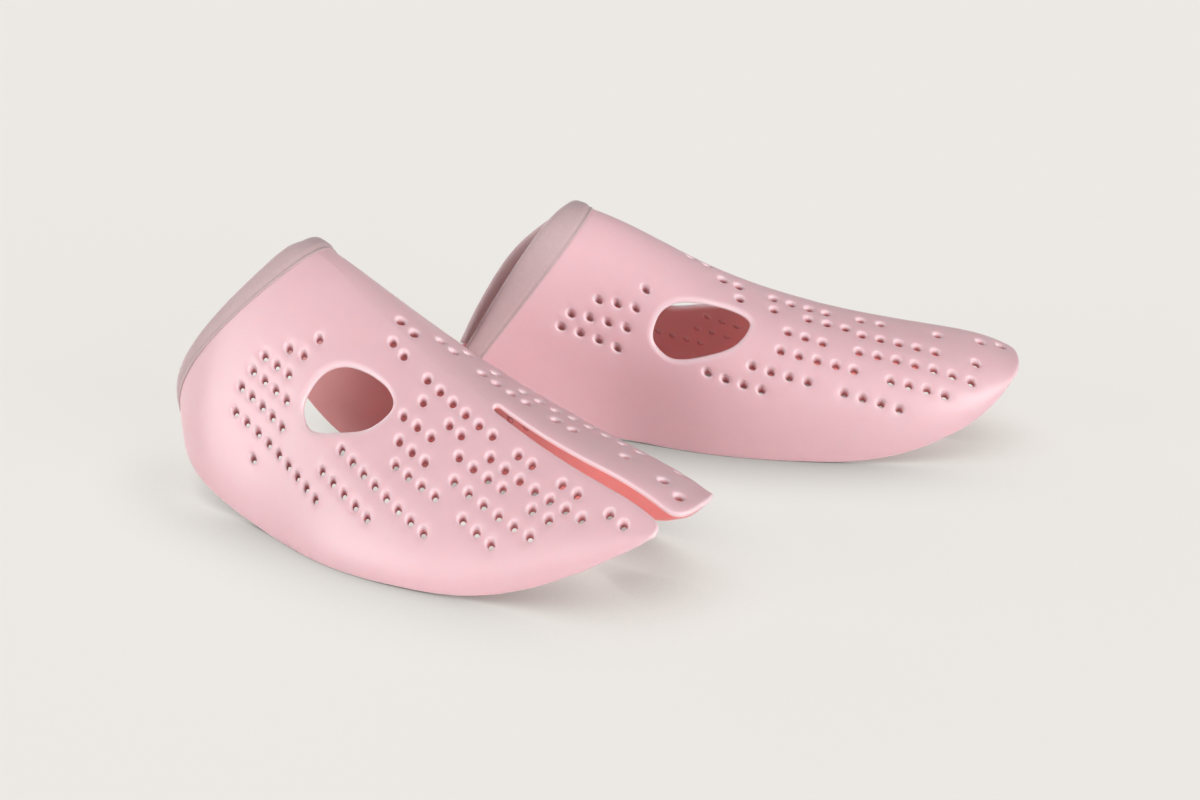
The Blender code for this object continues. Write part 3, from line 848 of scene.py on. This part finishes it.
class Nodes:
    """Short hand for adding, setting and linking the nodes of one tree."""

    def __init__(self, tree):
        self.tree = tree

    def add(self, kind, inputs=None, **settings):
        """New node with its inputs and other settings."""
        node = self.tree.nodes.new(kind)
        for key, value in settings.items():
            setattr(node, key, value)
        self.set(node, inputs or {})
        return node

    def set(self, node, inputs):
        """Links or sets each input of a node, by its name or number."""
        for key, value in inputs.items():
            if hasattr(value, "links"):
                self.tree.links.new(value, node.inputs[key])
            else:
                node.inputs[key].default_value = value

    def attribute(self, name):
        return self.add("ShaderNodeAttribute", attribute_name=name).outputs["Fac"]

    def noise(self, scale, detail, roughness=0.5):
        """Noise fixed to the object, with a scale in grains to a metre."""
        place = self.add("ShaderNodeTexCoord").outputs["Object"]
        inputs = {"Vector": place, "Scale": scale, "Detail": detail, "Roughness": roughness}
        return self.add("ShaderNodeTexNoise", inputs).outputs["Fac"]

    def math(self, operation, first, second):
        return self.add("ShaderNodeMath", {0: first, 1: second}, operation=operation).outputs[0]

    def mixed(self, factor, low, high):
        """Mix of two colours, whose sockets on the node are 6, 7 and output 2."""
        node = self.add("ShaderNodeMix", {0: factor}, data_type="RGBA", blend_type="MIX")
        self.set(node, {6: low, 7: high})
        return node.outputs[2]

    def ranged(self, value, low, high, from_low=0.0, from_high=1.0):
        """Value carried over from one range to another and kept inside it."""
        inputs = {"Value": value, "To Min": low, "To Max": high}
        inputs |= {"From Min": from_low, "From Max": from_high}
        return self.add("ShaderNodeMapRange", inputs).outputs["Result"]

    def spread(self, noise, low, high, reach=speck_reach):
        """Noise that strays from a half, drawn out to a range."""
        return self.ranged(noise, low, high, 0.5 - reach, 0.5 + reach)

    def mottled(self, colour, noise, amount):
        """Colour that a noise makes lighter and darker."""
        factor = self.spread(noise, 1 - amount, 1 + amount)
        node = self.add("ShaderNodeVectorMath", {0: colour, 1: factor}, operation="MULTIPLY")
        return node.outputs["Vector"]

    def bump(self, height, strength, distance):
        inputs = {"Height": height, "Strength": strength, "Distance": distance}
        return self.add("ShaderNodeBump", inputs).outputs["Normal"]


def new_material(name):
    """New material, the nodes of its tree and its shader."""
    material = bpy.data.materials.new(name)
    material.use_nodes = True
    nodes = Nodes(material.node_tree)
    return material, nodes, nodes.tree.nodes["Principled BSDF"]


def plastic(name, dark, light, rear, subsurface, subsurface_scale, roughness, glow):
    """Satin, slightly translucent moulded plastic, with painted light along its rims, painted
    shade down its holes and, where glow is given, a painted glow growing towards the toe.
    """
    material, nodes, shader = new_material(name)
    cloud = nodes.noise(shell_cloud_scale, detail=3.0)
    mottle = nodes.noise(shell_mottle_scale, detail=2.0)
    plain = nodes.mixed(nodes.spread(cloud, 0.0, 1.0, cloud_reach), linear(dark), linear(light))
    colour = nodes.mixed(nodes.attribute("toe_run"), linear(rear), plain)
    tint = nodes.mottled(colour, mottle, amount=0.01)
    # Painted light along rims and hole lips, then painted shade down the bores
    at_edge = nodes.ranged(nodes.attribute("painted_edge_glow"), 0.0, rim_painted_light_strength)
    lit = nodes.mixed(at_edge, tint, linear(rim_painted_light))
    down_hole = nodes.ranged(nodes.attribute("bore_depth"), 0.0, 1.0, *bore_painted_shade_depths)
    grain = nodes.noise(shell_grain_scale, detail=2.0)
    inputs = {
        "Base Color": nodes.mixed(down_hole, lit, linear(bore_painted_shade)),
        "Roughness": nodes.spread(mottle, *roughness),
        "Subsurface Weight": nodes.ranged(nodes.attribute("whole_wall"), 0.0, subsurface),
        "Subsurface Radius": (1.0, 0.35, 0.3),
        "Subsurface Scale": subsurface_scale,
        "Specular IOR Level": 0.8,
        "IOR": 1.46,
        "Normal": nodes.bump(grain, strength=0.12, distance=0.00006),
    }
    nodes.set(shader, inputs)
    # Painted glow: the inside emits its own colour, growing towards the toe, for light let through
    # the wall
    if glow:
        painted_toe_glow = nodes.ranged(nodes.attribute("toe_run"), 0.0, glow)
        nodes.set(shader, {"Emission Color": linear(dark), "Emission Strength": painted_toe_glow})
    return material


def soft_band(name, dark, light, roughness):
    """Matt, faintly dusty elastomer."""
    material, nodes, shader = new_material(name)
    cloud = nodes.noise(collar_cloud_scale, detail=3.0)
    speck = nodes.noise(collar_speck_scale, detail=3.0, roughness=0.6)
    colour = nodes.mixed(nodes.spread(cloud, 0.0, 1.0, cloud_reach), linear(dark), linear(light))
    inputs = {
        "Base Color": nodes.mottled(colour, speck, amount=0.04),
        "Roughness": nodes.spread(speck, *roughness),
        "Subsurface Weight": 0.12,
        "Subsurface Radius": (1.0, 0.5, 0.4),
        "Subsurface Scale": 0.002,
        "Sheen Weight": 0.15,
        "Sheen Roughness": 0.5,
        "Normal": nodes.bump(speck, strength=0.2, distance=0.00008),
    }
    nodes.set(shader, inputs)
    return material


def seen_directly(nodes):
    """One for rays from the camera, mirrored rays and rays let through, and zero for the rest."""
    path = nodes.add("ShaderNodeLightPath")
    both = nodes.math("MAXIMUM", path.outputs["Is Camera Ray"], path.outputs["Is Glossy Ray"])
    return nodes.math("MAXIMUM", both, path.outputs["Is Transmission Ray"])


def floor_paint():
    """Even, matt studio paper, part of whose paleness is its own glow so that shadows stay light;
    that glow is darkened where the shapers crowd it, a painted shade under and beside them.
    """
    material, nodes, shader = new_material("floor_paper")
    fibre = nodes.noise(floor_fibre_scale, detail=2.0)
    tint = nodes.mottled(floor_colour, fibre, amount=0.003)
    nodes.set(shader, {"Base Color": tint, "Roughness": 1.0, "Specular IOR Level": 0.0})
    # Painted shade: occlusion near the shapers dims the floor's glow, a contact shadow drawn in
    reach = {"Distance": floor_shade_reach}
    open_sky = nodes.add("ShaderNodeAmbientOcclusion", reach, samples=floor_shade_samples)
    level = nodes.ranged(open_sky.outputs["AO"], *floor_shade_levels, *floor_shade_openness)
    glow = nodes.add("ShaderNodeEmission", {"Color": (*floor_glow, 1.0), "Strength": level})
    share = nodes.math("MULTIPLY", seen_directly(nodes), floor_glow_share)
    mix = nodes.add("ShaderNodeMixShader", {0: share, 1: shader.outputs[0], 2: glow.outputs[0]})
    nodes.set(nodes.tree.nodes["Material Output"], {"Surface": mix.outputs[0]})
    return material


def new_mesh(name, points, faces, kinds, materials, values):
    """Smooth mesh with a material for each kind of face and named values at its points."""
    mesh = bpy.data.meshes.new(name)
    mesh.from_pydata([tuple(p) for p in points], [], faces)
    for material in materials:
        mesh.materials.append(material)
    mesh.polygons.foreach_set("material_index", np.array(kinds, np.int32))
    mesh.polygons.foreach_set("use_smooth", np.ones(len(mesh.polygons), bool))
    for key, numbers in values.items():
        attribute = mesh.attributes.new(key, "FLOAT", "POINT")
        attribute.data.foreach_set("value", numbers.astype(np.float32))
    mesh.update()
    return mesh


def keep_smooth_split(mesh, on_split, normals):
    """Gives the points where two halves meet the form's own normal, which hides the meeting."""
    found = np.zeros(len(mesh.vertices) * 3, np.float32)
    mesh.vertices.foreach_get("normal", found)
    found = found.reshape(-1, 3)
    found[on_split] = normals[on_split]
    mesh.normals_split_custom_set_from_vertices([tuple(n) for n in found])


def collar_rings(side, swell_shares):
    """Rings of the collar's section from the ridge to its end on one side."""
    outermost = fit_gap + collar_skin
    innermost = -wall - fit_gap - collar_skin
    radius = (outermost - innermost) / 2
    middle = (outermost + innermost) / 2
    turn = np.linspace(math.pi / 2, -math.pi / 2, lip_points)
    bead = [
        (bead_width * run, collar_front_height * rise - bead_dip * dip)
        for run, rise, dip in bead_profile
    ]
    slope_start, slope_end = bead_slope_widths
    bead_top = collar_front_height * bead_profile[-1][1]
    section = [
        *bead,
        (bead_width * slope_start, (bead_top + outermost) / 2),
        (bead_width * slope_end, outermost),
        *[(collar_band - radius * (1 - math.cos(t)), middle + radius * math.sin(t)) for t in turn],
        (bead_width, innermost),
        (0.0, innermost + collar_skin / 2),
        (0.0, -wall),
    ]
    behind, raised = np.array(section).T
    share = side.collar_shares[:, None]
    run = share / share[-1]
    thin = np.clip((run - collar_taper_share) / (1 - collar_taper_share), 0, 1) ** 2
    widening = Spline(collar_stops, swell_shares)(run) - thin * collar_thinning
    back = behind + np.clip(behind - lap_depth, 0, None) * widening
    skin = np.clip(raised - fit_gap, 0, None) + np.clip(raised + wall + fit_gap, None, 0)
    height = raised - skin * thin * collar_thinning
    x = side.behind_seam(np.broadcast_to(share, back.shape), back)
    across = side.sign * np.broadcast_to(share, x.shape)
    return form_point(x, across) + height[..., None] * form_normal(x, across)


def collar_shape(lateral_swell, medial_swell):
    """Points and faces of the collar, with closed ends."""
    down_lateral = collar_rings(lateral, lateral_swell)
    down_medial = collar_rings(medial, medial_swell)
    rings = [*down_lateral[::-1], *down_medial[1:]]
    count = len(rings[0])
    points = np.vstack(rings)
    faces = []
    for i in range(len(rings) - 1):
        for j in range(count):
            k = (j + 1) % count
            faces.append((i * count + j, (i + 1) * count + j, (i + 1) * count + k, i * count + k))
    last = (len(rings) - 1) * count
    faces.append(tuple(range(count)))
    faces.append(tuple(range(last + count - 1, last - 1, -1)))
    return points, faces


def placed(points, hand, place):
    """Points of a shaper's own frame in the frame of the pair."""
    moved = points * (1, hand, 1)
    matrix = np.array(place)
    return moved @ matrix[:3, :3].T + matrix[:3, 3]


def link(name, data):
    """New object in the scene around a mesh, lamp or camera."""
    obj = bpy.data.objects.new(name, data)
    bpy.context.scene.collection.objects.link(obj)
    return obj


def mirrored(faces, hand):
    """Faces turned about where the points are mirrored, so that they still face outwards."""
    return faces if hand > 0 else [tuple(face[::-1]) for face in faces]


def settled(points, across, rise, dip, set_back):
    """The medial toe as it lies in the photograph: its rim moved up or down, back or forward."""
    run = smooth_step((points[:, 0] / shell_length - tip_start_share) / (1 - tip_start_share))
    rim = run * across**2
    moved = points.copy()
    moved[:, 0] -= set_back * rim
    moved[:, 2] += rise * rim - dip * run * (1 - across) ** 2
    return moved


def shaper(prefix, hand, turn_share, place_shares, settling, swell_shares):
    """One shaper: two halves of its shell, each running on into a toe leaf, and its collar."""
    centre = Matrix.Translation((-shell_length / 2, 0.0, 0.0))
    place = Matrix.Translation((*(s * shell_length for s in place_shares), 0.0))
    place = place @ Matrix.Rotation(turn_share * math.tau, 4, "Z") @ centre
    body = prefix + "_shaper"
    for which, half in halves.items():
        points = half.points
        if which == "medial":
            points = settled(points, half.across, *settling)
        name = f"{prefix}_{which}_half"
        points = placed(points, hand, place)
        faces = mirrored(half.faces, hand)
        mesh = new_mesh(name, points, faces, half.kinds, shell_looks, half.values)
        turned = half.normals * (1, hand, 1) @ np.array(place)[:3, :3].T
        keep_smooth_split(mesh, half.on_split, turned)
        obj = link(name, mesh)
        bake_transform(obj)
        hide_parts(prefix + "_instep_shell", f"{prefix}_{which}_toe_leaf")
    points, faces = collar_shape(*swell_shares)
    name = prefix + "_rolled_collar"
    points = placed(points, hand, place)
    kinds = [0] * len(faces)
    obj = link(name, new_mesh(name, points, mirrored(faces, hand), kinds, collar_looks, {}))
    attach(obj, body)
    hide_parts(prefix + "_collar")


def lay_floor():
    """Wide square of floor under the pair."""
    mesh = bpy.data.meshes.new("floor")
    half = floor_size / 2
    corners = [(-half, -half, 0.0), (half, -half, 0.0), (half, half, 0.0), (-half, half, 0.0)]
    mesh.from_pydata(corners, [], [(0, 1, 2, 3)])
    mesh.materials.append(floor_paint())
    link("floor", mesh)


def hang_lamp(name, level, comes_from):
    """Broad, far lamp at a level, from a direction."""
    data = bpy.data.lights.new(name, "SUN")
    data.energy = level
    data.angle = lamp_spread
    sun = link(name, data)
    sun.rotation_mode = "QUATERNION"
    sun.rotation_quaternion = Vector(comes_from).to_track_quat("Z", "Y")


def light_up():
    """Sky that is brighter low down, and broad low lamps from the right, the left and behind."""
    world = bpy.data.worlds.new("studio")
    bpy.context.scene.world = world
    world.use_nodes = True
    nodes = Nodes(world.node_tree)
    sky = nodes.tree.nodes["Background"]
    place = nodes.add("ShaderNodeTexCoord").outputs["Generated"]
    up = nodes.add("ShaderNodeSeparateXYZ", {0: place}).outputs["Z"]
    strength = nodes.ranged(up, horizon_level, zenith_level)
    nodes.set(sky, {"Color": (1.0, 1.0, 1.0, 1.0), "Strength": strength})
    seen = nodes.add("ShaderNodeBackground", {"Color": (*floor_colour, 1.0), "Strength": 1.0})
    inputs = {0: seen_directly(nodes), 1: sky.outputs[0], 2: seen.outputs[0]}
    mix = nodes.add("ShaderNodeMixShader", inputs)
    nodes.set(nodes.tree.nodes["World Output"], {"Surface": mix.outputs[0]})
    for name, (level, comes_from) in lamps.items():
        hang_lamp(name, level, comes_from)


def set_camera():
    """Camera on the photograph's side of the pair, looking slightly down on it."""
    data = bpy.data.cameras.new("camera")
    data.lens = camera_lens
    data.sensor_width = camera_sensor
    camera = link("camera", data)
    back = Vector((0.0, -math.cos(camera_elevation), math.sin(camera_elevation)))
    camera.location = Vector(camera_target) + back * camera_distance
    camera.rotation_mode = "QUATERNION"
    camera.rotation_quaternion = back.to_track_quat("Z", "Y")
    bpy.context.scene.camera = camera


shell_looks = (
    plastic(
        "shell_pink",
        dark=shell_dark,
        light=shell_light,
        rear=shell_rear,
        subsurface=0.25,
        subsurface_scale=0.004,
        roughness=(0.38, 0.45),
        glow=0.0,
    ),
    plastic(
        "shell_inside_painted_glow",
        dark=inside_painted_glow_dark,
        light=inside_painted_glow_light,
        rear=inside_rear_painted_shade,
        subsurface=0.6,
        subsurface_scale=0.005,
        roughness=(0.42, 0.49),
        glow=0.25,
    ),
)
collar_looks = (
    soft_band("collar_band", dark=collar_dark, light=collar_light, roughness=(0.55, 0.68)),
)
lateral_sheet = HalfSheet(
    lateral,
    tip_share=lateral_tip_share,
    tip_length=lateral_tip_length,
    window_shares=lateral_window_shares,
    hole_rows=lateral_hole_row_shares,
)
medial_sheet = HalfSheet(
    medial,
    tip_share=medial_tip_share,
    tip_length=medial_tip_length,
    window_shares=medial_window_shares,
    hole_rows=medial_hole_row_shares,
)
halves = {"lateral": half_shell(lateral_sheet), "medial": half_shell(medial_sheet)}
shaper(
    "right",
    hand=1,
    turn_share=right_turn_share,
    place_shares=right_place_shares,
    settling=right_toe_settling,
    swell_shares=(right_lateral_swell_shares, right_medial_swell_shares),
)
shaper(
    "left",
    hand=-1,
    turn_share=left_turn_share,
    place_shares=left_place_shares,
    settling=left_toe_settling,
    swell_shares=(left_lateral_swell_shares, left_medial_swell_shares),
)
lay_floor()
light_up()
set_camera()
bpy.context.scene.view_settings.view_transform = "Standard"
